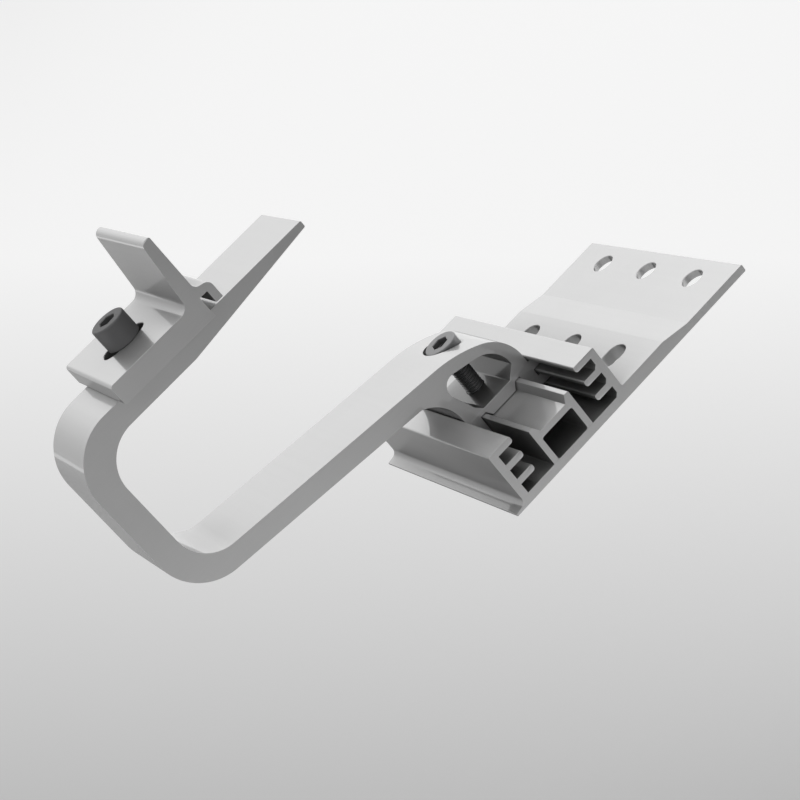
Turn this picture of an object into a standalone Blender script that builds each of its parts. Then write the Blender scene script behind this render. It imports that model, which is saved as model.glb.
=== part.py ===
"""Solar roof hook for a tiled roof: a fixing rail, a hooked arm, a rail bracket and two screws.

Every profile is drawn in the side section of the hook.  The section's first axis is Y, the way
up the roof slope, counted here from the front tip of the fixing rail's foot.  Its second axis is
Z, counted from the rail's underside, which lies on the roof.  X runs along the eaves.
"""
import math

import bmesh
import bpy
import numpy as np
from mathutils import Matrix, Vector

MM = 0.001

# Fixing rail: one extrusion along X, screwed to the rafter
BASE_WIDTH = 104.5
BASE_LENGTH = 128.2
FLOOR_THICK = 3.6
PLATE_THICK = 5.3
TAIL_THICK = 3.1
TAPER_START_Y = 84.5
TAPER_END_Y = 96.7
PLATE_EDGE_ROUND = 0.5
FOOT_TIP_THICK = 0.9
FOOT_ROOT_THICK = 1.7
FOOT_COVE = 2.6

# Serrated walls either side of the box
WALL_TOP = 25.0
FRONT_WALL_OUT_Y = 5.25
FRONT_WALL_THICK = 3.3
REAR_WALL_OUT_Y = 61.65
REAR_WALL_THICK = 3.15
WALL_CORNER = 0.6
WALL_ROOT = 0.8
FIN_COUNT = 3
FIN_THICK = 2.6
FIN_PITCH = 7.15
FIN_REACH = 7.75
FIN_TIP_TOP_ROUND = 0.7
FIN_TIP_LOW_ROUND = 1.1
POCKET_CHAMFER = 1.4

# Box that carries the arm, with a lip along each edge of its seat
BOX_FRONT_Y = 22.9
BOX_REAR_Y = 44.05
TUNNEL_FRONT_Y = 25.4
TUNNEL_REAR_Y = 41.4
TUNNEL_TOP = 14.6
TUNNEL_CORNER = 1.0
SEAT_TOP = 17.2
LIP_TOP = 20.2
LIP_WIDTH = 2.1
LIP_SLOPE = 1.75
LIP_CORNER = 0.3

# Fastener holes through the plate
HOLE_PITCH = 31.6
HOLE_COUNT = 3
HOLE_DIAMETER = 9.0
UPPER_ROW_Y = 118.0
LOWER_ROW_Y = 73.4
LOWER_HOLE_LENGTH = 12.0
LOWER_HOLE_WIDTH = 9.4

# Arm: one extrusion along X
ARM_WIDTH = 35.0
ARM_TOP = 125.1
FLAT_THICK = 9.1
FLAT_END_Y = -42.7
TIP_Y = 17.4
TIP_THICK = 2.8
TIP_ROUND = 0.5
WEB_OUT_Y = -101.3
WEB_THICK = 10.6
UPPER_BEND_OUT = 21.5
LOWER_BEND_OUT = 22.0
BEND_IN = 16.0
SLOPE_LOW_A = (-80.0, 49.27)
SLOPE_LOW_B = (-6.0, 41.44)
SLOPE_TOP_A = (-76.7, 57.4)
SLOPE_TOP_B = (21.3, 47.15)

# Head of the arm: a closed loop standing on two legs in the rail
COVE_CENTRE = (0.6, 25.3)
COVE_RADIUS = 16.0
CROWN_RADIUS = 57.0
CROWN_END_CENTRE = (32.3, 25.2)
CROWN_END_RADIUS = 18.1
LEG_THICK = 6.0
FIT_GAP = 0.3
NOSE_COUNT = 2
NOSE_REACH = 4.0
NOSE_ROUND = 0.8
LOOP_CORNERS = (
    (15.95, 43.15, 4.8),
    (45.0, 36.6, 12.3),
    (45.0, 26.6, 0.0),
    (40.2, 22.2, 1.0),
    (25.7, 22.2, 1.0),
    (23.1, 25.1, 3.0),
)

# Bracket for the module rail: one extrusion along X with a slot and an upright flange
BRACKET_WIDTH = 50.9
BRACKET_FRONT_Y = -72.6
BRACKET_REAR_Y = -29.4
BRACKET_THICK = 8.3
BRACKET_NOSE_TOP = 1.4
BRACKET_NOSE_LOW = 0.7
FLANGE_FRONT_FOOT_Y = -35.1
FLANGE_FRONT_TOP_Y = -32.5
FLANGE_REAR_Y = -28.7
FLANGE_TOP = 161.5
FLANGE_TOP_FRONT_ROUND = 2.6
FLANGE_TOP_REAR_ROUND = 0.9
FLANGE_ROOT = 3.8
VALLEY_Z = 137.6
VALLEY_Y = -28.7
VALLEY_ROUND = 1.6
HUMP_Z = 136.3
HUMP_ROUND = 2.2
TOE_OUT_Y = -23.4
TOE_THICK = 3.1
TOE_BOTTOM = 128.2
TOE_ROUND = 0.3
GROOVE_TOP = 133.7
GROOVE_ROUND = 0.3
SLOT_LENGTH = 18.6
SLOT_WIDTH = 9.0
SLOT_CENTRE_Y = -54.5

# Screws
THREAD_DIAMETER = 7.8
TAPPED_DIAMETER = 8.2
CLEAR_DIAMETER = 9.0
HEAD_DIAMETER = 13.0
SOCKET_ACROSS_FLATS = 6.0
HEAD_CHAMFER = 0.6
TIP_CHAMFER = 0.8
RAIL_SCREW_HEAD = 9.2
RAIL_SCREW_SOCKET = 4.4
RAIL_SCREW_TIP_Z = 117.0
BASE_SCREW_HEAD_TOP = 45.7
BASE_SCREW_HEAD = 4.4
BASE_SCREW_SOCKET = 2.4
BASE_SCREW_TIP_Z = 17.9
COUNTERBORE_DIAMETER = 15.0

# Facet sizes of round surfaces
ARC_STEP = math.radians(5.0)
ROUND_STEP = math.radians(15.0)
ROUND_SIDES = 64
HEX_SIDES = 6
CUT_OVERRUN = 2.0
WELD = 1e-6

# Lines worked out from the dimensions above
HALF = 0.5
FRONT_WALL_IN_Y = FRONT_WALL_OUT_Y + FRONT_WALL_THICK
REAR_WALL_IN_Y = REAR_WALL_OUT_Y - REAR_WALL_THICK
FRONT_TIPS_Y = FRONT_WALL_IN_Y + FIN_REACH
REAR_TIPS_Y = REAR_WALL_IN_Y - FIN_REACH
FRONT_LEG_OUT_Y = FRONT_TIPS_Y + FIT_GAP
FRONT_LEG_IN_Y = BOX_FRONT_Y - FIT_GAP
REAR_LEG_OUT_Y = REAR_TIPS_Y - FIT_GAP
REAR_LEG_IN_Y = BOX_REAR_Y + FIT_GAP
FLAT_BOTTOM = ARM_TOP - FLAT_THICK
WEB_IN_Y = WEB_OUT_Y + WEB_THICK
BRACKET_TOP = ARM_TOP + BRACKET_THICK
BASE_SCREW_Y = (BOX_FRONT_Y + BOX_REAR_Y) * HALF
RAIL_SCREW_Y = SLOT_CENTRE_Y
SEAT_SCREW_Z = BASE_SCREW_HEAD_TOP - BASE_SCREW_HEAD
ORIGIN_Y = BASE_LENGTH * HALF


def clear_scene():
    """Empty the file so that only the hook is in it."""
    for old in list(bpy.data.objects):
        bpy.data.objects.remove(old)


def arc(centre, radius, start, end):
    """Points along an arc of the section, its angles counted from +Y towards +Z."""
    steps = max(2, math.ceil(abs(end - start) / ARC_STEP))
    return [(centre[0] + radius * math.cos(a), centre[1] + radius * math.sin(a))
            for a in np.linspace(start, end, steps + 1)]


def rounded(corners):
    """Outline of a polygon whose corners (y, z, radius) are filleted."""
    points = []
    for i, (y, z, radius) in enumerate(corners):
        here = Vector((y, z))
        if not radius:
            points.append((y, z))
            continue
        back = (Vector(corners[i - 1][:2]) - here).normalized()
        ahead = (Vector(corners[(i + 1) % len(corners)][:2]) - here).normalized()
        half_angle = back.angle(ahead) * HALF
        centre = here + (back + ahead).normalized() * (radius / math.sin(half_angle))
        reach = radius / math.tan(half_angle)
        from_centre = here + back * reach - centre
        sweep = -from_centre.angle_signed(here + ahead * reach - centre)
        steps = max(2, math.ceil(abs(sweep) / (ARC_STEP if radius > FOOT_COVE else ROUND_STEP)))
        for turn in np.linspace(0, sweep, steps + 1):
            points.append(tuple(centre + Matrix.Rotation(turn, 2) @ from_centre))
    return points


def line_z(a, b, y):
    """Height at y of the line through two points of the section."""
    return a[1] + (b[1] - a[1]) * (y - a[0]) / (b[0] - a[0])


def extrude(name, width, outline, *holes):
    """Closed solid from a flat section, centred on X, with its caps welded to its sides."""
    curve = bpy.data.curves.new(name, 'CURVE')
    curve.dimensions = '2D'
    curve.fill_mode = 'BOTH'
    curve.extrude = width * HALF * MM
    for loop in (outline, *holes):
        spline = curve.splines.new('POLY')
        spline.points.add(len(loop) - 1)
        for point, (y, z) in zip(spline.points, loop):
            point.co = ((y - ORIGIN_Y) * MM, z * MM, 0, 1)
        spline.use_cyclic_u = True
    flat = bpy.data.objects.new(name, curve)
    bpy.context.collection.objects.link(flat)
    bpy.context.view_layer.update()
    mesh = bpy.data.meshes.new_from_object(flat.evaluated_get(bpy.context.evaluated_depsgraph_get()))
    bpy.data.objects.remove(flat)
    # the section's own axes become Y and Z, and the way it was extruded becomes X
    mesh.transform(Matrix(((0, 0, 1, 0), (1, 0, 0, 0), (0, 1, 0, 0), (0, 0, 0, 1))))
    return solid(name, mesh)


def solid(name, mesh):
    """Object from a mesh, welded and turned outwards."""
    work = bmesh.new()
    work.from_mesh(mesh)
    bmesh.ops.remove_doubles(work, verts=work.verts, dist=WELD)
    bmesh.ops.recalc_face_normals(work, faces=work.faces)
    work.to_mesh(mesh)
    work.free()
    mesh.name = name
    piece = bpy.data.objects.new(name, mesh)
    bpy.context.collection.objects.link(piece)
    return piece


def prism(name, sections, y, x=0, stretch=0, sides=ROUND_SIDES, turn=0):
    """Upright turned body from (radius, z) rings, drawn out along Y by stretch."""
    work = bmesh.new()
    rings = []
    for radius, z in sections:
        ring = []
        for i in range(sides):
            a = turn + math.tau * (i + HALF) / sides
            shift = math.copysign(stretch * HALF, math.sin(a)) if stretch else 0
            ring.append(work.verts.new(((x + radius * math.cos(a)) * MM,
                                        (y + shift + radius * math.sin(a) - ORIGIN_Y) * MM,
                                        z * MM)))
        rings.append(ring)
    for low, high in zip(rings, rings[1:]):
        for i in range(sides):
            work.faces.new((low[i - 1], low[i], high[i], high[i - 1]))
    work.faces.new(rings[0])
    work.faces.new(rings[-1])
    mesh = bpy.data.meshes.new(name)
    work.to_mesh(mesh)
    work.free()
    return solid(name, mesh)


def cut(piece, cutters):
    """Subtract closed cutters from a piece and drop them."""
    for tool in cutters:
        tool.display_type = 'WIRE'
        tool.hide_render = True
        modifier = piece.modifiers.new(tool.name, 'BOOLEAN')
        modifier.operation = 'DIFFERENCE'
        modifier.solver = 'EXACT'
        modifier.object = tool
    bpy.context.view_layer.update()
    mesh = bpy.data.meshes.new_from_object(piece.evaluated_get(bpy.context.evaluated_depsgraph_get()))
    piece.modifiers.clear()
    piece.data = mesh
    mesh.name = piece.name
    for tool in cutters:
        bpy.data.objects.remove(tool)
    return piece


def fin_levels():
    """Top and bottom of each fin, from the wall's top down."""
    tops = [WALL_TOP - i * FIN_PITCH for i in range(FIN_COUNT)]
    return [(top, top - FIN_THICK) for top in tops]


def serrated_front():
    """Inner side of the front wall, from its top down to the floor."""
    corners = []
    for top, low in fin_levels():
        if corners:
            corners.append((FRONT_WALL_IN_Y, top, 0))
        corners += [(FRONT_TIPS_Y, top, FIN_TIP_TOP_ROUND),
                    (FRONT_TIPS_Y, low, FIN_TIP_LOW_ROUND),
                    (FRONT_WALL_IN_Y, low, 0)]
    return corners + [(FRONT_WALL_IN_Y, FLOOR_THICK, 0)]


def serrated_rear():
    """Inner side of the rear wall, from the floor up to its top; each pocket has a chamfered root."""
    corners = []
    floors = [top for top, low in fin_levels()[1:]] + [FLOOR_THICK]
    for (top, low), floor in reversed(list(zip(fin_levels(), floors))):
        corners += [(REAR_WALL_IN_Y - POCKET_CHAMFER, floor, 0),
                    (REAR_WALL_IN_Y, floor + POCKET_CHAMFER, 0),
                    (REAR_WALL_IN_Y, low, 0),
                    (REAR_TIPS_Y, low, FIN_TIP_LOW_ROUND),
                    (REAR_TIPS_Y, top, FIN_TIP_TOP_ROUND)]
    return corners


def box_outline():
    """Outer side of the box, over both lips and its seat."""
    return [(BOX_FRONT_Y, FLOOR_THICK, 0),
            (BOX_FRONT_Y, LIP_TOP, LIP_CORNER),
            (BOX_FRONT_Y + LIP_WIDTH, LIP_TOP, LIP_CORNER),
            (BOX_FRONT_Y + LIP_WIDTH + LIP_SLOPE, SEAT_TOP, 0),
            (BOX_REAR_Y - LIP_WIDTH - LIP_SLOPE, SEAT_TOP, 0),
            (BOX_REAR_Y - LIP_WIDTH, LIP_TOP, LIP_CORNER),
            (BOX_REAR_Y, LIP_TOP, LIP_CORNER),
            (BOX_REAR_Y, FLOOR_THICK, 0)]


def hole_columns():
    """X of the three fastener holes of a row."""
    return [(i - (HOLE_COUNT - 1) * HALF) * HOLE_PITCH for i in range(HOLE_COUNT)]


def base_plate():
    """Fixing rail with serrated walls, lipped box, tapered plate and two rows of holes."""
    outline = rounded(
        [(0, 0, 0),
         (0, FOOT_TIP_THICK, 0),
         (FRONT_WALL_OUT_Y, FOOT_ROOT_THICK, FOOT_COVE),
         (FRONT_WALL_OUT_Y, WALL_TOP, WALL_CORNER)]
        + serrated_front() + box_outline() + serrated_rear()
        + [(REAR_WALL_OUT_Y, WALL_TOP, WALL_CORNER),
           (REAR_WALL_OUT_Y, PLATE_THICK, WALL_ROOT),
           (TAPER_START_Y, PLATE_THICK, 0),
           (TAPER_END_Y, TAIL_THICK, 0),
           (BASE_LENGTH, TAIL_THICK, PLATE_EDGE_ROUND),
           (BASE_LENGTH, 0, PLATE_EDGE_ROUND)])
    tunnel = rounded([(TUNNEL_FRONT_Y, FLOOR_THICK, TUNNEL_CORNER),
                      (TUNNEL_REAR_Y, FLOOR_THICK, TUNNEL_CORNER),
                      (TUNNEL_REAR_Y, TUNNEL_TOP, TUNNEL_CORNER),
                      (TUNNEL_FRONT_Y, TUNNEL_TOP, TUNNEL_CORNER)])
    piece = extrude('base_plate', BASE_WIDTH, outline, tunnel)
    cutters = []
    through = (-CUT_OVERRUN, PLATE_THICK + CUT_OVERRUN)
    for x in hole_columns():
        cutters.append(prism('upper_hole', [(HOLE_DIAMETER * HALF, z) for z in through],
                             UPPER_ROW_Y, x))
        cutters.append(prism('lower_hole', [(LOWER_HOLE_WIDTH * HALF, z) for z in through],
                             LOWER_ROW_Y, x, stretch=LOWER_HOLE_LENGTH - LOWER_HOLE_WIDTH))
    return cut(piece, cutters)


def nosed_leg(out_y, in_y, side):
    """Leg of the arm's head from its outer face round its end to its inner face."""
    reach = out_y + side * NOSE_REACH
    corners = []
    for (top, low), (floor, _) in zip(fin_levels()[:NOSE_COUNT], fin_levels()[1:]):
        corners += [(out_y, low - FIT_GAP, 0),
                    (reach, low - FIT_GAP, NOSE_ROUND),
                    (reach, floor + FIT_GAP, NOSE_ROUND),
                    (out_y, floor + FIT_GAP, 0)]
    end_z = fin_levels()[NOSE_COUNT][0] + FIT_GAP
    corners[-1] = (in_y, end_z, NOSE_ROUND)
    return corners + [(in_y, LIP_TOP + FIT_GAP, 0)]


def head_underside():
    """Section of the head from the front leg under the loop to the rear leg."""
    lean = LIP_SLOPE / (LIP_TOP - SEAT_TOP)
    notch_in = LIP_WIDTH + FIT_GAP
    notch_low = notch_in + lean * (LIP_TOP + FIT_GAP - SEAT_TOP)
    front = nosed_leg(FRONT_LEG_OUT_Y, FRONT_LEG_IN_Y, -1)
    rear = nosed_leg(REAR_LEG_OUT_Y, REAR_LEG_IN_Y, 1)
    seat = [(BOX_FRONT_Y + notch_in, LIP_TOP + FIT_GAP, 0),
            (BOX_FRONT_Y + notch_low, SEAT_TOP, 0),
            (BOX_REAR_Y - notch_low, SEAT_TOP, 0),
            (BOX_REAR_Y - notch_in, LIP_TOP + FIT_GAP, 0)]
    return front + seat + rear[::-1]


def cove_start():
    """Where the arm's underside meets the cove that clears the front wall."""
    slope = (SLOPE_LOW_B[1] - SLOPE_LOW_A[1]) / (SLOPE_LOW_B[0] - SLOPE_LOW_A[0])
    rise = line_z(SLOPE_LOW_A, SLOPE_LOW_B, COVE_CENTRE[0]) - COVE_CENTRE[1]
    square, cross = 1 + slope * slope, slope * rise
    y = (-cross + math.sqrt(cross * cross - square * (rise * rise - COVE_RADIUS ** 2))) / square
    return math.atan2(rise + slope * y, y)


def crown():
    """Arc of the head from the rear leg forwards, tangent to the arm's sloping top."""
    along = (Vector(SLOPE_TOP_B) - Vector(SLOPE_TOP_A)).normalized()
    up = Vector((-along.y, along.x))
    end_centre = Vector(CROWN_END_CENTRE)
    start = Vector(SLOPE_TOP_B) - up * CROWN_RADIUS - end_centre
    reach = CROWN_RADIUS - CROWN_END_RADIUS
    half_b = start.dot(along)
    shift = -half_b - math.sqrt(half_b ** 2 - (start.length_squared - reach ** 2))
    centre = start + along * shift + end_centre
    joint = math.atan2(*reversed(end_centre - centre))
    ridge = math.atan2(up.y, up.x)
    return (arc(CROWN_END_CENTRE, CROWN_END_RADIUS, 0, joint)
            + arc(centre, CROWN_RADIUS, joint, ridge)[1:])


def hook_arm():
    """Arm from its thin tip back round both bends and forwards to its looped head."""
    slope_low_z = line_z(SLOPE_LOW_A, SLOPE_LOW_B, WEB_OUT_Y)
    slope_top_z = line_z(SLOPE_TOP_A, SLOPE_TOP_B, WEB_IN_Y)
    cove = arc(COVE_CENTRE, COVE_RADIUS, cove_start(), 0)
    outline = rounded(
        [(TIP_Y, ARM_TOP, TIP_ROUND),
         (WEB_OUT_Y, ARM_TOP, UPPER_BEND_OUT),
         (WEB_OUT_Y, slope_low_z, LOWER_BEND_OUT)]
        + [(y, z, 0) for y, z in cove]
        + head_underside()
        + [(y, z, 0) for y, z in crown()]
        + [(WEB_IN_Y, slope_top_z, BEND_IN),
           (WEB_IN_Y, FLAT_BOTTOM, BEND_IN),
           (FLAT_END_Y, FLAT_BOTTOM, 0),
           (TIP_Y, ARM_TOP - TIP_THICK, TIP_ROUND)])
    piece = extrude('hook_arm', ARM_WIDTH, outline, rounded(LOOP_CORNERS))
    loop_middle = (SEAT_SCREW_Z + SEAT_TOP) * HALF
    return cut(piece, [
        prism('counterbore', [(COUNTERBORE_DIAMETER * HALF, z)
                              for z in (SEAT_SCREW_Z, WALL_TOP + SEAT_SCREW_Z)], BASE_SCREW_Y),
        prism('clearance', [(CLEAR_DIAMETER * HALF, z)
                            for z in (loop_middle, SEAT_SCREW_Z + CUT_OVERRUN)], BASE_SCREW_Y),
        prism('base_thread', [(TAPPED_DIAMETER * HALF, z)
                              for z in (SEAT_TOP - CUT_OVERRUN, loop_middle)], BASE_SCREW_Y),
        prism('rail_thread', [(TAPPED_DIAMETER * HALF, z)
                              for z in (FLAT_BOTTOM - CUT_OVERRUN, ARM_TOP + CUT_OVERRUN)],
              RAIL_SCREW_Y)])


def rail_bracket():
    """Slotted foot, upright flange and a curled toe behind it."""
    outline = rounded(
        [(BRACKET_FRONT_Y, ARM_TOP, BRACKET_NOSE_LOW),
         (BRACKET_FRONT_Y, BRACKET_TOP, BRACKET_NOSE_TOP),
         (FLANGE_FRONT_FOOT_Y, BRACKET_TOP, FLANGE_ROOT),
         (FLANGE_FRONT_TOP_Y, FLANGE_TOP, FLANGE_TOP_FRONT_ROUND),
         (FLANGE_REAR_Y, FLANGE_TOP, FLANGE_TOP_REAR_ROUND),
         (VALLEY_Y, VALLEY_Z, VALLEY_ROUND),
         (TOE_OUT_Y, HUMP_Z, HUMP_ROUND),
         (TOE_OUT_Y, TOE_BOTTOM, TOE_ROUND),
         (TOE_OUT_Y - TOE_THICK, TOE_BOTTOM, TOE_ROUND),
         (TOE_OUT_Y - TOE_THICK, GROOVE_TOP, GROOVE_ROUND),
         (BRACKET_REAR_Y, GROOVE_TOP, GROOVE_ROUND),
         (BRACKET_REAR_Y, ARM_TOP, 0)])
    piece = extrude('rail_bracket', BRACKET_WIDTH, outline)
    sections = [(SLOT_WIDTH * HALF, z)
                for z in (ARM_TOP - CUT_OVERRUN, BRACKET_TOP + CUT_OVERRUN)]
    return cut(piece, [prism('slot', sections, SLOT_CENTRE_Y, stretch=SLOT_LENGTH - SLOT_WIDTH)])


def socket_screw(name, y, seat_z, head, socket, tip_z):
    """Screw with a cylindrical head and a hexagon socket."""
    thread, cap = THREAD_DIAMETER * HALF, HEAD_DIAMETER * HALF
    top = seat_z + head
    piece = prism(name, [(thread - TIP_CHAMFER, tip_z),
                         (thread, tip_z + TIP_CHAMFER),
                         (thread, seat_z),
                         (cap, seat_z),
                         (cap, top - HEAD_CHAMFER),
                         (cap - HEAD_CHAMFER, top)], y)
    corner = SOCKET_ACROSS_FLATS * HALF / math.cos(math.pi / HEX_SIDES)
    return cut(piece, [prism('hexagon', [(corner, top - socket), (corner, top + CUT_OVERRUN)], y,
                             sides=HEX_SIDES)])


clear_scene()
base_plate()
hook_arm()
rail_bracket()
socket_screw('base_screw', BASE_SCREW_Y, SEAT_SCREW_Z, BASE_SCREW_HEAD, BASE_SCREW_SOCKET,
             BASE_SCREW_TIP_Z)
socket_screw('rail_screw', RAIL_SCREW_Y, BRACKET_TOP, RAIL_SCREW_HEAD, RAIL_SCREW_SOCKET,
             RAIL_SCREW_TIP_Z)
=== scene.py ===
"""Looks of a solar roof hook: an aluminium base rail, a looped arm, a slotted bracket and two screws.

Each extrusion is its side section carried along X.  The section's first axis is Y, counted from
the front tip of the rail's foot, and its second is Z, counted from the rail's underside.  Sizes of
the hook are in millimetres, and those of its finishes and of the studio in metres.
"""
import math

import bmesh
import bpy
import numpy as np
from mathutils import Matrix, Vector
from mathutils.geometry import tessellate_polygon


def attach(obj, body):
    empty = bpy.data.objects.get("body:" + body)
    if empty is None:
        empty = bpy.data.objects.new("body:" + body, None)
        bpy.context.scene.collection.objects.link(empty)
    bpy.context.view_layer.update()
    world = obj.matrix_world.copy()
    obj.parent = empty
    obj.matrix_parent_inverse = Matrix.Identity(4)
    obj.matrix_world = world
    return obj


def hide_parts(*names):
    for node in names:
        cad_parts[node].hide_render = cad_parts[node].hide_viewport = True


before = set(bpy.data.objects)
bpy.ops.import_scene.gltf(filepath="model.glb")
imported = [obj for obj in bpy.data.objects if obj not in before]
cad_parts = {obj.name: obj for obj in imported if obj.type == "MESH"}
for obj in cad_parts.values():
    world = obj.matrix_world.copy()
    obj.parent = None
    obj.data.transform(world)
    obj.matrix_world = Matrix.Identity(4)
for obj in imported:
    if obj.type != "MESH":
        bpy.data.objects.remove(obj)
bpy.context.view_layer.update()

MM = 0.001
CRISP = 0.15        # radius left on a section's corner that looks sharp
RIM = 0.06          # rounding of an extrusion's cut ends, smaller than CRISP
FIT = 0.3           # gap between pieces that slide in each other
REAR_FIT = 0.35
LARGE_RADIUS = 5.0
COARSE_STEP, FINE_STEP = 6.0, 2.5       # degrees between the points of small and of large arcs

# Base rail
RAIL_LENGTH = 104.5
RAIL_DEPTH = 128.2
SHIFT_Y = RAIL_DEPTH / 2
WALL_TOP = 25.0
FLOOR_TOP = 3.6
PLATE_TOP = 5.3
TAIL_TOP = 3.1
PLATE_STEP = (84.5, 96.7)
FOOT_TIP, FOOT_ROOT = 0.9, 1.7
FRONT_WALL = (5.25, 8.55)
REAR_WALL = (58.5, 61.65)
FIN_PITCH, FIN_THICK = 7.15, 2.6
FINS = [(WALL_TOP - FIN_PITCH * i, WALL_TOP - FIN_PITCH * i - FIN_THICK) for i in range(3)]
FRONT_TIPS, REAR_TIPS = 16.3, 50.75
POCKET_BREAK = 1.4
BOX = (22.9, 44.05)
BOX_MIDDLE = sum(BOX) / 2
SEAT = 17.2
LIP_TOP, LIP_WIDTH, LIP_FOOT = 20.2, 2.1, 3.85
TUNNEL, TUNNEL_TOP = (25.4, 41.4), 14.6
HOLE_PITCH = 31.6
UPPER_ROW_Y, UPPER_HOLE_RADIUS = 118.0, 4.5
LOWER_ROW_Y, LOWER_HOLE_RADIUS, LOWER_HOLE_STRETCH = 73.4, 4.7, 2.6

# Arm
ARM_WIDTH = 35.0
ARM_TOP = 125.1
TIP_Y, TIP_LOW = 17.4, 122.3
FLAT_LOW, WEDGE_START_Y = 116.0, -42.7
WEB = (-101.3, -90.7)
SLOPE_TOP = ((-76.7, 57.4), (21.3, 47.15))
SLOPE_LOW = ((-80.0, 49.27), (-6.0, 41.44))
COVE_CENTRE, COVE_RADIUS = (0.6, 25.3), 16.0
CROWN_RADIUS = 57.0
NAPE_CENTRE, NAPE_RADIUS = (32.3, 25.2), 18.1
NOSE_REACH = 4.0
SADDLE_TOP = 20.5
SADDLE_IN, SADDLE_FOOT = 2.4, 4.33

# Bracket
BRACKET_WIDTH = 50.9
BRACKET_THICK = 8.3
BRACKET_TOP = ARM_TOP + BRACKET_THICK
BRACKET_Y = (-72.6, -29.4)
FLANGE_TOP, FLANGE_FRONT, FLANGE_REAR, FLANGE_FOOT = 161.5, -32.5, -28.7, -35.1
VALLEY_Z, HUMP_Z = 137.3, 135.9
TOE, TOE_LOW, GROOVE_TOP = (-25.9, -22.8), 128.2, 133.5
SLOT_Y, SLOT_RADIUS, SLOT_STRETCH = -54.6, 4.5, 9.6

# Screws and their holes
SHANK_RADIUS, HEAD_RADIUS, KEY_RADIUS = 3.9, 6.8, 3.0
THREAD_PITCH, THREAD_DEPTH = 1.25, 0.62
TAPPED_RADIUS, CLEAR_RADIUS = 4.1, 4.5
BASE_SCREW_SEAT, BASE_SCREW_HEAD, BASE_SCREW_SOCKET, BASE_SCREW_TIP = 41.3, 4.4, 2.4, 17.9
COUNTERBORE_RADIUS, COUNTERBORE_SHIFT = 7.8, 0.4
RAIL_SCREW_Y = -54.1
RAIL_SCREW_SEAT = ARM_TOP + 8.35
RAIL_SCREW_HEAD, RAIL_SCREW_SOCKET, RAIL_SCREW_TIP = 9.55, 4.4, 117.0
KEY_TURN = math.radians(10)


# Section outlines

def arc(centre, radius, start, end, step=FINE_STEP):
    """Points at centre + radius * (cos a, sin a), with a running from start to end in degrees."""
    turn = np.radians(np.linspace(start, end, max(3, math.ceil(abs(end - start) / step) + 1)))
    return np.column_stack((centre[0] + radius * np.cos(turn), centre[1] + radius * np.sin(turn)))


def rounded(corners):
    """Outline of a polygon, each corner (y, z, radius) replaced by the arc tangent to both sides."""
    points = []
    for i, (y, z, radius) in enumerate(corners):
        here = Vector((y, z))
        if not radius:
            points.append([(y, z)])
            continue
        back = (Vector(corners[i - 1][:2]) - here).normalized()
        ahead = (Vector(corners[(i + 1) % len(corners)][:2]) - here).normalized()
        half = back.angle(ahead) / 2
        centre = here + (back + ahead).normalized() * (radius / math.sin(half))
        first = back * (radius / math.tan(half)) + here - centre
        last = ahead * (radius / math.tan(half)) + here - centre
        start = math.degrees(math.atan2(first.y, first.x))
        sweep = -math.degrees(first.angle_signed(last))
        step = COARSE_STEP if radius < LARGE_RADIUS else FINE_STEP
        points.append(arc(centre, radius, start, start + sweep, step))
    return np.vstack(points)


def unrounded(points):
    """Points of a curve as corners that stay as they are."""
    return [tuple(point) + (0,) for point in points]


def slope_line(a, b):
    """Height at y of the straight line through a and b, as a function of y."""
    return lambda y: a[1] + (b[1] - a[1]) * (y - a[0]) / (b[0] - a[0])


def rail_outline():
    """Base rail: foot, front wall with fins, lipped box, rear wall with fins, stepped plate."""
    front, rear = [], []
    for top, low in FINS:
        front += [(FRONT_WALL[1], top, CRISP)] if front else []
        front += [(FRONT_TIPS, top, 0.7), (FRONT_TIPS, low, 1.1), (FRONT_WALL[1], low, CRISP)]
    front += [(FRONT_WALL[1], FLOOR_TOP, CRISP)]
    for (top, low), pocket in reversed(list(zip(FINS, [FINS[1][0], FINS[2][0], FLOOR_TOP]))):
        rear += [(REAR_WALL[0] - POCKET_BREAK, pocket, CRISP),
                 (REAR_WALL[0], pocket + POCKET_BREAK, CRISP), (REAR_WALL[0], low, CRISP),
                 (REAR_TIPS, low, 1.1), (REAR_TIPS, top, 0.7)]
    a, b = BOX
    box = [(a, FLOOR_TOP, 0.3), (a, LIP_TOP, 0.35), (a + LIP_WIDTH, LIP_TOP, 0.35),
           (a + LIP_FOOT, SEAT, 0.25), (b - LIP_FOOT, SEAT, 0.25), (b - LIP_WIDTH, LIP_TOP, 0.35),
           (b, LIP_TOP, 0.35), (b, FLOOR_TOP, 0.3)]
    return rounded(
        [(0, 0, CRISP), (0, FOOT_TIP, CRISP), (FRONT_WALL[0], FOOT_ROOT, 2.6),
         (FRONT_WALL[0], WALL_TOP, 0.6)]
        + front + box + rear
        + [(REAR_WALL[1], WALL_TOP, 0.6), (REAR_WALL[1], PLATE_TOP, 0.8),
           (PLATE_STEP[0], PLATE_TOP, 1.5), (PLATE_STEP[1], TAIL_TOP, 1.5),
           (RAIL_DEPTH, TAIL_TOP, 0.5), (RAIL_DEPTH, 0, 0.5)])


def tunnel_outline():
    """Hollow of the rail's box."""
    a, b = TUNNEL
    return rounded([(a, FLOOR_TOP, 1), (b, FLOOR_TOP, 1), (b, TUNNEL_TOP, 1), (a, TUNNEL_TOP, 1)])


def leg(outer, inner, side):
    """Leg of the arm's head: two noses that reach into the pockets between the fins."""
    reach = outer + side * NOSE_REACH
    corners = []
    for (_, low), (pocket, _) in zip(FINS[:2], FINS[1:]):
        corners += [(outer, low - FIT, CRISP), (reach, low - FIT, 0.8), (reach, pocket + FIT, 0.8),
                    (outer, pocket + FIT, CRISP)]
    corners[-1] = (inner, FINS[2][0] + FIT, 0.8)
    return corners + [(inner, SADDLE_TOP, CRISP)]


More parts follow.
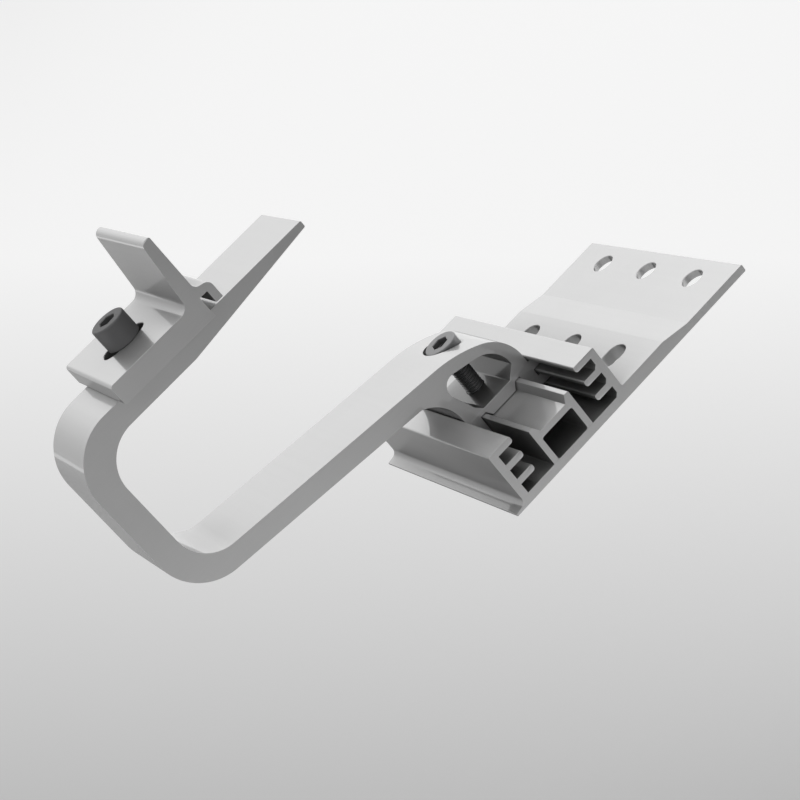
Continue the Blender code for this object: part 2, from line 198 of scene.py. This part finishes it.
def crown_outline():
    """Head from its rear leg over the nape and the crown to the arm's sloping top.

    The nape's arc has its centre given.  The crown's arc touches the slope and the nape's arc, so
    its centre lies its own radius below the slope and the difference of the radii from the nape's.
    """
    along = (Vector(SLOPE_TOP[1]) - Vector(SLOPE_TOP[0])).normalized()
    up = Vector((-along.y, along.x))
    nape = Vector(NAPE_CENTRE)
    start = Vector(SLOPE_TOP[1]) - up * CROWN_RADIUS - nape
    half = start.dot(along)
    apart = CROWN_RADIUS - NAPE_RADIUS
    shift = -half - math.sqrt(half ** 2 - (start.length_squared - apart ** 2))
    crown = start + along * shift + nape
    joint = math.degrees(math.atan2(nape.y - crown.y, nape.x - crown.x))
    ridge = math.degrees(math.atan2(up.y, up.x))
    return np.vstack((arc(nape, NAPE_RADIUS, 0, joint), arc(crown, CROWN_RADIUS, joint, ridge, 0.8)[1:]))


def cove_outline():
    """Quarter arc under the head, from where it meets the slope's underside to upright."""
    low = slope_line(*SLOPE_LOW)
    turn = np.radians(np.arange(0.0, 89.0, 0.05))
    above = (COVE_CENTRE[1] + COVE_RADIUS * np.sin(turn)
             - low(COVE_CENTRE[0] + COVE_RADIUS * np.cos(turn)))
    return arc(COVE_CENTRE, COVE_RADIUS, math.degrees(turn[np.argmax(above > 0)]), 0)


def arm_outline():
    """Arm: tip, flat limb, both bends, sloping limb, cove, legs and crown."""
    low, high = slope_line(*SLOPE_LOW), slope_line(*SLOPE_TOP)
    saddle = [(BOX[0] + SADDLE_IN, SADDLE_TOP, CRISP), (BOX[0] + SADDLE_FOOT, SEAT + FIT, CRISP),
              (BOX[1] - SADDLE_FOOT, SEAT + FIT, CRISP), (BOX[1] - SADDLE_IN, SADDLE_TOP, CRISP)]
    under = (leg(FRONT_TIPS + FIT, BOX[0] - FIT, -1) + saddle
             + leg(REAR_TIPS - REAR_FIT, BOX[1] + FIT, 1)[::-1])
    outside, inside = WEB
    back = [(inside, high(inside), 16.0), (inside, FLAT_LOW, 16.0), (WEDGE_START_Y, FLAT_LOW, 3.0),
            (TIP_Y, TIP_LOW, 0.5), (TIP_Y, ARM_TOP, 0.5), (outside, ARM_TOP, 21.5),
            (outside, low(outside), 22.0)]
    return rounded(unrounded(cove_outline()) + under + unrounded(crown_outline()) + back)


def loop_outline():
    """Hollow of the arm's head."""
    return rounded([(15.95, 43.15, 4.8), (45.0, 36.6, 12.3), (45.0, 26.6, CRISP),
                    (40.2, 22.2, 1.0), (25.7, 22.2, 1.0), (23.1, 25.1, 3.0)])


def bracket_outline():
    """Rail bracket: slotted foot, flange that thickens to its root, hump and hanging toe."""
    front, rear = BRACKET_Y
    toe_in, toe_out = TOE
    return rounded(
        [(front, ARM_TOP, 0.7), (front, BRACKET_TOP, 1.4), (FLANGE_FOOT, BRACKET_TOP, 3.8),
         (FLANGE_FRONT, FLANGE_TOP, 2.6), (FLANGE_REAR, FLANGE_TOP, 0.9), (FLANGE_REAR, VALLEY_Z, 2.4),
         (toe_out, HUMP_Z, 3.0), (toe_out, TOE_LOW, 0.3), (toe_in, TOE_LOW, 0.3),
         (toe_in, GROOVE_TOP, 0.3), (rear, GROOVE_TOP, 0.3), (rear, ARM_TOP, CRISP)])


# Surfaces

def into_metal(loop):
    """Direction in which each point of a closed loop moves when its sides move one unit left."""
    side = np.roll(loop, -1, axis=0) - loop
    side /= np.linalg.norm(side, axis=1)[:, None]
    left = np.column_stack((-side[:, 1], side[:, 0]))
    before = np.roll(left, 1, axis=0)
    return (left + before) / (1 + np.sum(left * before, axis=1))[:, None]


def turned(loop, outward):
    """The loop anticlockwise when outward is true, and clockwise otherwise."""
    after = np.roll(loop, -1, axis=0)
    area = np.sum(loop[:, 0] * after[:, 1] - after[:, 0] * loop[:, 1])
    return loop if (area > 0) == outward else loop[::-1]


def grid_faces(rows, count, first=0):
    """Quads of a grid of rows by count points, closed along its points."""
    r, i = np.meshgrid(np.arange(rows - 1), np.arange(count), indexing="ij")
    j = (i + 1) % count
    quads = np.stack((r * count + i, r * count + j, (r + 1) * count + j, (r + 1) * count + i), -1)
    return (quads.reshape(-1, 4) + first).tolist()


def mesh_piece(name, points, faces):
    """Object whose mesh is in metres, its doubles merged and its faces turned outwards."""
    mesh = bpy.data.meshes.new(name)
    mesh.from_pydata((np.asarray(points) * MM).tolist(), [], faces)
    piece = bpy.data.objects.new(name, mesh)
    bpy.context.collection.objects.link(piece)
    work = bmesh.new()
    work.from_mesh(mesh)
    bmesh.ops.remove_doubles(work, verts=work.verts, dist=1e-7)
    bmesh.ops.recalc_face_normals(work, faces=work.faces)
    work.to_mesh(mesh)
    work.free()
    return piece


def upright_piece(name, radius, z, y, x=0.0, stretch=0.0, turn=0.0):
    """Closed body about an upright axis, from one row of radii and one height z a station.

    A point stands at angle a, x + radius * cos a and y + radius * sin a, and each half of the body
    is moved away from the middle along Y by stretch / 2.
    """
    rows, count = radius.shape
    a = math.tau * (np.arange(count) + turn) / count
    px = x + radius * np.cos(a)[None]
    py = y - SHIFT_Y + radius * np.sin(a)[None] + np.sign(np.sin(a))[None] * stretch / 2
    points = np.stack((px, py, np.broadcast_to(z[:, None], px.shape)), -1).reshape(-1, 3)
    caps = [list(range(count)), list(range((rows - 1) * count, rows * count))]
    return mesh_piece(name, points, grid_faces(rows, count) + caps)


def extruded(name, outline, hollows, width):
    """Outline carried along X from -width/2 to width/2, its rims rounded to a quarter circle.

    At angle a round the rim, x = width/2 - RIM * (1 - cos a) and the outline shrinks by
    RIM * (1 - sin a), so a = 0 lies in the end face and a = 90 degrees on the side.
    """
    a = np.radians([0.0, 30.0, 60.0, 90.0])
    x = np.concatenate((-width / 2 + RIM * (1 - np.cos(a)), width / 2 - RIM * (1 - np.cos(a[::-1]))))
    shrink = np.concatenate((RIM * (1 - np.sin(a)), RIM * (1 - np.sin(a[::-1]))))
    points, faces, ends, first = [], [], ([], []), 0
    for k, loop in enumerate([outline, *hollows]):
        loop = turned(loop, k == 0)
        section = loop[None] + shrink[:, None, None] * into_metal(loop)[None]
        along = np.broadcast_to(x[:, None, None], section.shape[:2] + (1,))
        block = np.concatenate((along, section), axis=2)
        block[..., 1] -= SHIFT_Y
        points.append(block.reshape(-1, 3))
        faces += grid_faces(len(x), len(loop), first)
        ends[0].append(np.arange(len(loop)) + first)
        ends[1].append(np.arange(len(loop)) + first + (len(x) - 1) * len(loop))
        first += len(x) * len(loop)
    points = np.vstack(points)
    for rings in ends:
        order = np.concatenate(rings)
        flat = [[Vector((p[1], p[2], 0)) for p in points[ring]] for ring in rings]
        faces += [[int(order[i]) for i in tri] for tri in tessellate_polygon(flat)]
    return mesh_piece(name, points, faces)


def cutter(name, rings, y, x=0.0, stretch=0.0, count=96):
    """Round body from (radius, z) rings, which a Boolean takes out of a piece."""
    radius, z = np.array(rings, float).T
    radius = np.broadcast_to(radius[:, None], (len(z), count))
    return upright_piece(name, radius, z, y, x, stretch, turn=0.5)


def through_hole(name, radius, low, high, y, x=0.0, stretch=0.0, flare=0.25, over=1.0):
    """Cutter for a hole from low to high, each rim broken by a 45 degree flare."""
    return cutter(name, [(radius + flare + over, low - over), (radius, low + flare),
                         (radius, high - flare), (radius + flare + over, high + over)],
                  y, x, stretch)


def drilled(piece, cutters):
    """The piece with each cutter taken out of it."""
    for tool in cutters:
        step = piece.modifiers.new(tool.name, "BOOLEAN")
        step.operation, step.solver, step.object = "DIFFERENCE", "EXACT", tool
    depsgraph = bpy.context.evaluated_depsgraph_get()
    depsgraph.update()
    mesh = bpy.data.meshes.new_from_object(piece.evaluated_get(depsgraph))
    piece.modifiers.clear()
    piece.data = mesh
    for tool in cutters:
        bpy.data.objects.remove(tool)
    return piece


def smooth(piece, angle=32.0):
    """Shade smooth between edges sharper than the angle, flat faces keeping their own normal."""
    piece.data.shade_smooth()
    piece.data.set_sharp_from_angle(angle=math.radians(angle))
    weighted = piece.modifiers.new("face_weight", "WEIGHTED_NORMAL")
    weighted.keep_sharp = True
    weighted.weight = 100
    return piece


# Pieces

def base_rail():
    """Base rail with its two rows of fastener holes."""
    piece = extruded("serrated_rail", rail_outline(), [tunnel_outline()], RAIL_LENGTH)
    cutters = []
    for k in (-1, 0, 1):
        x = HOLE_PITCH * k
        cutters.append(through_hole(f"upper_{k + 1}", UPPER_HOLE_RADIUS, 0, TAIL_TOP, UPPER_ROW_Y, x))
        cutters.append(through_hole(f"lower_{k + 1}", LOWER_HOLE_RADIUS, 0, PLATE_TOP, LOWER_ROW_Y, x,
                                    LOWER_HOLE_STRETCH))
    return smooth(drilled(piece, cutters))


def looped_arm():
    """Arm with its counterbore, its screw holes and its looped head."""
    piece = extruded("looped_arm", arm_outline(), [loop_outline()], ARM_WIDTH)
    above, in_loop, below = 70.0, 30.0, 15.0
    return smooth(drilled(piece, [
        cutter("counterbore", [(COUNTERBORE_RADIUS, BASE_SCREW_SEAT), (COUNTERBORE_RADIUS, above)],
               BOX_MIDDLE + COUNTERBORE_SHIFT),
        cutter("clearance", [(CLEAR_RADIUS, in_loop), (CLEAR_RADIUS, 43.0)], BOX_MIDDLE),
        cutter("base_thread", [(TAPPED_RADIUS, below), (TAPPED_RADIUS, in_loop)], BOX_MIDDLE),
        through_hole("rail_thread", TAPPED_RADIUS, FLAT_LOW, ARM_TOP, RAIL_SCREW_Y)]))


def slotted_bracket():
    """Rail bracket with its slot."""
    piece = extruded("slotted_bracket", bracket_outline(), [], BRACKET_WIDTH)
    slot = through_hole("slot", SLOT_RADIUS, ARM_TOP, BRACKET_TOP, SLOT_Y, stretch=SLOT_STRETCH)
    return smooth(drilled(piece, [slot]))


def thread_rows(low, high, a):
    """Rows (radius, z) of a thread from low to high.

    The radius is SHANK_RADIUS - THREAD_DEPTH * (1 - cos(z / pitch - a, in turns)) / 2, with the
    depth growing from almost nothing over the first and the last run-out.
    """
    steps, run_out, shallow = 12, 1.2, 0.05
    z = np.arange(low + 0.1, high, THREAD_PITCH / steps)
    wave = np.cos(math.tau * z[:, None] / THREAD_PITCH - a[None])
    fade = np.minimum(1, np.minimum(z - low, high - z) / run_out)[:, None]
    return list(zip(SHANK_RADIUS - THREAD_DEPTH * (1 - wave) / 2 * np.clip(fade, shallow, 1), z))


def socket_screw(name, y, seat, head, socket, tip):
    """Screw as one grid: angle a by station s, radius R(a, s) and height z(s).

    Socket: R = KEY_RADIUS / cos(a from the middle of its flat), which draws a 6 mm hexagon.
    """
    count, top, crown = 96, seat + head, 0.6
    a = math.tau * np.arange(count) / count
    flat = KEY_RADIUS / np.cos((a - KEY_TURN + math.pi / 6) % (math.pi / 3) - math.pi / 6)
    rim = np.radians(np.linspace(0, 90, 5))
    wide, centre = HEAD_RADIUS, 0.001
    rows = [(centre, tip), (2.7, tip), (2.9, tip + 0.1), *thread_rows(tip + 0.6, seat - 0.6, a)]
    rows += [(SHANK_RADIUS, seat - 0.5), (SHANK_RADIUS, seat), (wide - 0.3, seat), (wide, seat + 0.3)]
    rows += [(wide, seat + h) for h in np.linspace(0.5, head - 0.7, 4)]
    rows += [(wide - crown * (1 - math.cos(t)), top - crown + crown * math.sin(t)) for t in rim]
    rows += [(wide - 1.0, top), (4.0, top), (flat + 0.25, top), (flat, top - 0.25),
             (flat, top - socket + 0.1), (flat - 0.1, top - socket)]
    rows += [(2.0, top - socket - 0.25), (centre, top - socket - 0.8)]
    radius = np.array([np.broadcast_to(r, count) for r, _ in rows])
    return smooth(upright_piece(name, radius, np.array([z for _, z in rows]), y), 28)


# Finishes

class Nodes:
    """Short hand for adding and joining the nodes of one tree."""

    def __init__(self, tree):
        self.tree = tree

    def add(self, kind, **sockets):
        """Node of a kind.

        Capitalised words are its input sockets, an underscore with a number is the input socket of
        that number, and other words are its settings.
        """
        node = self.tree.nodes.new(kind)
        for key, value in sockets.items():
            if key[0] == "_":
                self.set(node.inputs[int(key[1:])], value)
            elif key[0].isupper():
                self.set(node.inputs[key.replace("_", " ")], value)
            else:
                setattr(node, key, value)
        return node

    def set(self, socket, value):
        """Join a socket to another's output, or give it a plain value."""
        if isinstance(value, bpy.types.NodeSocket):
            self.tree.links.new(value, socket)
        else:
            socket.default_value = value

    def math(self, operation, a, b=0.0, c=0.0):
        """Result of one Math node."""
        return self.add("ShaderNodeMath", operation=operation, _0=a, _1=b, _2=c).outputs[0]

    def vector(self, operation, a, b=(0.0, 0.0, 0.0)):
        """One Vector Math node."""
        return self.add("ShaderNodeVectorMath", operation=operation, _0=a, _1=b)

    def dot(self, a, b):
        """Dot product of two vectors."""
        return self.vector("DOT_PRODUCT", a, b).outputs["Value"]

    def mix(self, share, a, b):
        """Number a where the share is 0 and b where it is 1."""
        return self.add("ShaderNodeMix", _0=share, _2=a, _3=b).outputs[0]

    def ramp(self, value, low, high, new_low, new_high):
        """Value moved from low..high to new_low..new_high along a straight line."""
        return self.add("ShaderNodeMapRange", _0=value, _1=low, _2=high, _3=new_low,
                        _4=new_high).outputs[0]

    def spread(self, value, low, high, new_low=0.0, new_high=1.0):
        """Value moved from low..high to new_low..new_high along a smooth step."""
        return self.add("ShaderNodeMapRange", interpolation_type="SMOOTHSTEP", _0=value, _1=low,
                        _2=high, _3=new_low, _4=new_high).outputs[0]

    def noise(self, where, scale, detail, place=None, stretch=None):
        """Noise from 0 to 1, its space moved and stretched first if asked."""
        if stretch:
            where = self.add("ShaderNodeMapping", _0=where, _2=place or (0, 0, 0), _3=stretch).outputs[0]
        return self.add("ShaderNodeTexNoise", Vector=where, Scale=scale, Detail=detail).outputs[0]

    def here(self):
        """Object coordinates."""
        return self.add("ShaderNodeTexCoord").outputs["Object"]

    def grey(self, shade):
        """Colour whose three channels are the shade."""
        return self.add("ShaderNodeCombineColor", Red=shade, Green=shade, Blue=shade).outputs[0]


def group(name, inputs, outputs):
    """Empty node group with float inputs {name: value} and float outputs."""
    tree = bpy.data.node_groups.new(name, "ShaderNodeTree")
    for label, value in inputs.items():
        socket = tree.interface.new_socket(label, in_out="INPUT", socket_type="NodeSocketFloat")
        socket.default_value = value
    for label in outputs:
        tree.interface.new_socket(label, in_out="OUTPUT", socket_type="NodeSocketFloat")
    given = tree.nodes.new("NodeGroupInput").outputs
    return tree, Nodes(tree), given, tree.nodes.new("NodeGroupOutput").inputs


def die_lines_group():
    """Fine lines that the die leaves along X, and saw marks on the cut ends."""
    tree, n, given, out = group("die_lines", {"Lines": 1.0, "Saw": 1.0}, ["Height", "Tone"])
    where = n.here()
    lines = n.noise(where, 1.0, 3.0, stretch=(9.0, 2600.0, 2600.0))
    bands = n.noise(where, 1.0, 2.0, stretch=(3.0, 420.0, 420.0))
    marks = n.noise(where, 1.0, 2.0, place=(0.35, 0, 0), stretch=(1.0, 60.0, 2400.0))
    normal = n.add("ShaderNodeNewGeometry").outputs["True Normal"]
    across = n.add("ShaderNodeSeparateXYZ", Vector=normal).outputs[0]
    end = n.spread(n.math("ABSOLUTE", across), 0.85, 0.97)
    side_height = n.math("MULTIPLY", n.math("MULTIPLY_ADD", bands, 0.6, lines), given["Lines"])
    n.set(out["Height"], n.mix(end, side_height, n.math("MULTIPLY", marks, given["Saw"])))
    n.set(out["Tone"], n.mix(end, bands, marks))
    return tree


def edge_wear_group():
    """Mask of edges rubbed bright: where the rounded normal leaves the true one."""
    tree, n, given, out = group("edge_wear", {"Radius": 0.0005, "Broken": 0.4}, ["Mask"])
    soft = n.add("ShaderNodeBevel", samples=4, Radius=given["Radius"]).outputs[0]
    same = n.dot(soft, n.add("ShaderNodeNewGeometry").outputs["Normal"])
    edge = n.spread(n.math("SUBTRACT", 1.0, same), 0.01, 0.2)
    patches = n.spread(n.noise(n.here(), 260.0, 3.0), 0.35, 0.65)
    keep = n.math("SUBTRACT", 1.0, n.math("MULTIPLY", given["Broken"], patches))
    n.set(out["Mask"], n.math("MULTIPLY", edge, keep))
    return tree


def handling_group():
    """Slight cloudiness left by storage and handling, from 0 to 1, and a few faint scuffs."""
    tree, n, given, out = group("handling", {"Scale": 45.0}, ["Cloud", "Scuff"])
    where = n.here()
    n.set(out["Cloud"], n.spread(n.noise(where, given["Scale"], 4.0), 0.3, 0.7))
    scuff = n.noise(where, 1.0, 1.0, place=(0.4, 0.9, 0.3), stretch=(40.0, 900.0, 500.0))
    n.set(out["Scuff"], n.spread(scuff, 0.66, 0.78))
    return tree


def hollow_group():
    """Painted shade: 1 on open faces, falling to Least in the piece's own corners, holes and channels.
    """
    tree, n, given, out = group("hollow_shade", {"Reach": 0.03, "Depth": 1.0, "Least": 0.35}, ["Open"])
    around = n.add("ShaderNodeAmbientOcclusion", samples=8, only_local=True, Distance=given["Reach"])
    shut = n.math("MULTIPLY", n.math("SUBTRACT", 1.0, around.outputs["AO"]), given["Depth"])
    n.set(out["Open"], n.math("MAXIMUM", n.math("SUBTRACT", 1.0, shut), given["Least"]))
    return tree


def placed(n, tree, **values):
    """Outputs of a group node with its own values."""
    node = n.add("ShaderNodeGroup", node_tree=tree)
    for key, value in values.items():
        node.inputs[key].default_value = value
    return node.outputs


GROUPS = {"die_lines": die_lines_group(), "edge_wear": edge_wear_group(), "handling": handling_group(),
          "hollow_shade": hollow_group()}


def finish_material(name, colour, metal, roughness, gloss, skin, lines, saw, relief, wear_tone,
                    wear_radius, hollow):
    """Metal with die or lathe lines, a soft base and a thin glossy skin.

    Painted shade darkens its colour and skin where it is seen in other metal and in its own hollows and
    corners.
    """
    material = bpy.data.materials.new(name)
    material.use_nodes = True
    n = Nodes(material.node_tree)
    shader = material.node_tree.nodes["Principled BSDF"].inputs
    shader["Metallic"].default_value = metal
    shader["Specular IOR Level"].default_value = gloss
    shader["Coat Roughness"].default_value = 0.04
    shader["Coat IOR"].default_value = skin
    # painted shade: where the metal is mirrored, colour and skin fall to 0.3, and the hollow shade
    # lowers them further
    mirrored = n.add("ShaderNodeLightPath").outputs["Is Glossy Ray"]
    painted_shade_factor = n.math("MULTIPLY", n.math("MULTIPLY_ADD", mirrored, -0.7, 1.0),
                  placed(n, GROUPS["hollow_shade"], Depth=hollow)["Open"])
    n.set(shader["Coat Weight"], painted_shade_factor)
    die = placed(n, GROUPS["die_lines"], Lines=lines, Saw=saw)
    wear = placed(n, GROUPS["edge_wear"], Radius=wear_radius)
    rub = placed(n, GROUPS["handling"])
    tone = n.math("MULTIPLY_ADD", die["Tone"], 0.05, 0.975)
    tone = n.math("MULTIPLY", tone, n.math("MULTIPLY_ADD", rub["Cloud"], 0.02, 0.99))
    # painted shade in the colour
    tone = n.math("MULTIPLY", tone, painted_shade_factor)
    plain = n.add("ShaderNodeMix", data_type="RGBA", _0=wear["Mask"], _6=(*colour, 1.0),
                  _7=(*(min(1.0, c * wear_tone) for c in colour), 1.0)).outputs[2]
    toned = n.add("ShaderNodeMix", data_type="RGBA", blend_type="MULTIPLY", _0=1.0, _6=plain,
                  _7=n.grey(tone)).outputs[2]
    n.set(shader["Base Color"], toned)
    rough = n.math("MULTIPLY_ADD", rub["Cloud"], 0.035, roughness - 0.015)
    rough = n.math("MULTIPLY_ADD", rub["Scuff"], 0.05, rough)
    n.set(shader["Roughness"], n.math("MULTIPLY_ADD", die["Tone"], 0.04, rough))
    bump = n.add("ShaderNodeBump", Strength=relief, Distance=0.00002, Height=die["Height"])
    n.set(shader["Normal"], bump.outputs[0])
    return material


ALUMINIUM = finish_material(
    "mill_aluminium", (0.77, 0.77, 0.77), metal=0.5, roughness=0.3, gloss=0.5, skin=3.0, lines=1.0,
    saw=0.8, relief=0.35, wear_tone=1.06, wear_radius=0.0003, hollow=1.0)
PLATED = finish_material(
    "plated_steel", (0.25, 0.25, 0.255), metal=0.5, roughness=0.36, gloss=0.4, skin=1.4, lines=0.4,
    saw=0.4, relief=0.25, wear_tone=1.8, wear_radius=0.0004, hollow=0.3)
DARK_PLATED = finish_material(
    "dark_plated_steel", (0.205, 0.205, 0.208), metal=0.3, roughness=0.42, gloss=0.05, skin=1.03,
    lines=0.4, saw=0.4, relief=0.25, wear_tone=1.8, wear_radius=0.0004, hollow=0.3)


def dressed(piece, node, body, material):
    """The piece in its finish rides on its body in place of the plain solid."""
    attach(piece, body)
    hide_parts(node)
    for shown in (piece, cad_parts[node]):
        shown.data.materials.clear()
        shown.data.materials.append(material)


# Camera, floor and light

BRIGHT_WAY = (-0.66, 0.59, 0.46)        # towards the brightest part of the studio
FLOOR_Z = -0.2
PHOTO_WIDTH, FOCAL_LENGTH = 800, 1972.9         # in pixels of the photograph


def set_camera():
    """Camera at the photograph's place, its axes as rows of right, up and back."""
    data = bpy.data.cameras.new("camera")
    data.sensor_width = 36.0
    data.lens = FOCAL_LENGTH / PHOTO_WIDTH * data.sensor_width
    data.clip_start, data.clip_end = 0.01, 60.0
    camera = bpy.data.objects.new("camera", data)
    bpy.context.collection.objects.link(camera)
    right, up, back = (0.4455, 0.6760, -0.5871), (-0.1487, 0.7025, 0.6960), (0.8829, -0.2228, 0.4134)
    place = (0.6514, -0.2209, 0.3462)
    camera.matrix_world = Matrix([*zip(right, up, back, place), (0, 0, 0, 1)])
    bpy.context.scene.camera = camera


def stage_sheet(name, corners):
    """Four-cornered sheet that belongs to the studio, and the nodes of its empty material."""
    mesh = bpy.data.meshes.new(name)
    mesh.from_pydata(corners, [], [(0, 1, 2, 3)])
    sheet = bpy.data.objects.new(name, mesh)
    bpy.context.collection.objects.link(sheet)
    material = bpy.data.materials.new(name)
    material.use_nodes = True
    material.node_tree.nodes.clear()
    sheet.data.materials.append(material)
    return sheet, Nodes(material.node_tree)


def level_corners(x, y, z):
    """Corners of a level sheet over the ranges x and y."""
    return [(x[0], y[0], z), (x[1], y[0], z), (x[1], y[1], z), (x[0], y[1], z)]


def background_seen(n):
    """1 for the rays that look at the background or mirror it, 0 for those that light with it."""
    ray = n.add("ShaderNodeLightPath").outputs
    return n.math("MAXIMUM", n.math("MAXIMUM", ray["Is Camera Ray"], ray["Is Glossy Ray"]),
                  ray["Is Transmission Ray"])


def floor_paint(n, shade, lift=0.37):
    """Matt paint of a shade, with a painted glow that lifts it a little where it is looked at or
    mirrored; also its colour and that mask.
    """
    grey, seen = n.grey(shade), background_seen(n)
    matt = n.add("ShaderNodeBsdfDiffuse", Color=grey)
    # painted glow where the floor is looked at or mirrored
    glow = n.add("ShaderNodeEmission", Color=grey, Strength=n.math("MULTIPLY", seen, lift))
    return n.add("ShaderNodeAddShader", _0=matt.outputs[0], _1=glow.outputs[0]).outputs[0], grey, seen


def set_floor():
    """Pale floor, with painted shade that makes it greyer just in front of the hook.

    Its shade is a fan: with a counted along the fan's middle line towards the hinge and b
    across it, the shade follows b / a, so each line of equal shade runs through the hinge.
    Beside the hook the shade is even.  Far away it has painted light, paler towards the bright part of
    the studio, and the floor glows in it where it is looked at.
    """
    reach, hinge, aside, closest = 30.0, 1.127, 0.178, 0.6
    sheet, n = stage_sheet("studio_floor", level_corners((-reach, reach), (-reach, reach), FLOOR_Z))
    where = n.here()
    across = n.math("SUBTRACT", n.dot(where, (-0.207, 0.978, 0.0)), aside)
    along = n.math("SUBTRACT", hinge, n.dot(where, (0.978, 0.207, 0.0)))
    fan = n.math("DIVIDE", across, n.math("MAXIMUM", along, closest))
    # painted shade: greyer in front of the hook
    shade = n.ramp(fan, -0.213, 0.085, 0.5, 0.888)
    beside = n.math("MAXIMUM", n.spread(n.dot(where, (1.0, 0.0, 0.0)), 0.05, 0.5),
                    n.spread(n.dot(where, (0.0, -1.0, 0.0)), 0.4, 0.9))
    away = n.spread(n.vector("LENGTH", where).outputs["Value"], 1.6, 6.0)
    # painted light: paler towards the bright part of the studio
    far = n.spread(n.dot(n.vector("NORMALIZE", where).outputs[0], BRIGHT_WAY), 0.3, 1.0, 0.78, 0.9)
    near, grey, seen = floor_paint(n, n.mix(away, n.mix(beside, shade, 0.78), far))
    glow = n.add("ShaderNodeEmission", Color=grey)
    both = n.add("ShaderNodeMixShader", _0=n.math("MULTIPLY", away, seen), _1=near, _2=glow.outputs[0])
    n.add("ShaderNodeOutputMaterial", Surface=both.outputs[0])


def set_painted_shade_mat():
    """Darker mat of painted shade just above the floor at the near side, seen by the metal and not by
    the camera.

    It fades out towards its edges and has no underside.
    """
    x, y = (0.2, 5.0), (-4.0, 4.0)
    sheet, n = stage_sheet("painted_shade_mat", level_corners(x, y, FLOOR_Z + 0.004))
    where = n.here()
    out_x, out_y = n.dot(where, (1.0, 0.0, 0.0)), n.dot(where, (0.0, 1.0, 0.0))
    # painted shade, darker towards +Y and further out along X
    shade = n.math("MULTIPLY", n.ramp(out_y, -0.02, 0.18, 0.43, 0.17),
                   n.spread(out_x, 0.48, 0.75, 1.0, 0.72))
    paint = floor_paint(n, shade)[0]
    cover = n.math("MULTIPLY", n.spread(out_x, x[0], 0.45), n.spread(out_x, 3.0, x[1], 1.0, 0.0))
    cover = n.math("MULTIPLY", cover, n.spread(n.math("ABSOLUTE", out_y), 2.5, y[1], 1.0, 0.0))
    below = n.add("ShaderNodeNewGeometry").outputs["Backfacing"]
    cover = n.math("MULTIPLY", cover, n.math("SUBTRACT", 1.0, below))
    clear = n.add("ShaderNodeBsdfTransparent").outputs[0]
    both = n.add("ShaderNodeMixShader", _0=cover, _1=clear, _2=paint)
    n.add("ShaderNodeOutputMaterial", Surface=both.outputs[0])
    sheet.visible_camera = sheet.visible_shadow = False


def set_painted_shade_card():
    """Grey card low on the far front side, with painted shade darker at its foot, seen only in the
    metal.
    """
    y, foot, head = (-0.7, -0.1), (-0.2, -0.199), (-0.4, 0.09)
    sheet, n = stage_sheet("painted_shade_card", [(foot[0], y[0], foot[1]), (foot[0], y[1], foot[1]),
                                         (head[0], y[1], head[1]), (head[0], y[0], head[1])])
    # painted shade, darker towards the card's foot
    shade = n.spread(n.dot(n.here(), (0.0, 0.0, 1.0)), -0.17, -0.04, 0.1, 0.74)
    matt = n.add("ShaderNodeBsdfDiffuse", Color=n.grey(shade))
    n.add("ShaderNodeOutputMaterial", Surface=matt.outputs[0])
    sheet.visible_camera = sheet.visible_diffuse = sheet.visible_shadow = False


def set_world():
    """Soft studio surround, brightest behind the hook's far upper side."""
    world = bpy.data.worlds.new("studio")
    world.use_nodes = True
    world.node_tree.nodes.clear()
    n = Nodes(world.node_tree)
    way = n.add("ShaderNodeTexCoord").outputs["Generated"]
    brightness = n.spread(n.dot(way, BRIGHT_WAY), 0.4, 1.0, 0.45, 0.92)
    background = n.add("ShaderNodeBackground", Color=(1, 1, 1, 1), Strength=brightness)
    n.add("ShaderNodeOutputWorld", Surface=background.outputs[0])
    bpy.context.scene.world = world


def soft_box(name, place, size, brightness, aim=(0, 0, 0.05)):
    """Square soft box turned to the hook; its power is brightness * pi * area."""
    data = bpy.data.lights.new(name, "AREA")
    data.shape, data.size = "SQUARE", size
    data.energy = brightness * math.pi * size ** 2
    light = bpy.data.objects.new(name, data)
    bpy.context.collection.objects.link(light)
    light.location = place
    light.rotation_euler = (Vector(aim) - Vector(place)).to_track_quat("-Z", "Y").to_euler()
    light.visible_camera = False


dressed(base_rail(), "base_plate", "rail", ALUMINIUM)
dressed(looped_arm(), "hook_arm", "arm", ALUMINIUM)
dressed(slotted_bracket(), "rail_bracket", "bracket", ALUMINIUM)
dressed(socket_screw("head_screw", BOX_MIDDLE, BASE_SCREW_SEAT, BASE_SCREW_HEAD, BASE_SCREW_SOCKET,
                     BASE_SCREW_TIP), "base_screw", "arm", PLATED)
dressed(socket_screw("slot_screw", RAIL_SCREW_Y, RAIL_SCREW_SEAT, RAIL_SCREW_HEAD, RAIL_SCREW_SOCKET,
                     RAIL_SCREW_TIP), "rail_screw", "arm", DARK_PLATED)

set_camera()
set_floor()
set_painted_shade_mat()
set_painted_shade_card()
set_world()
soft_box("high_box", (-0.9, 1.3, 2.0), 2.4, 0.45)
bpy.context.scene.view_settings.view_transform = "Standard"
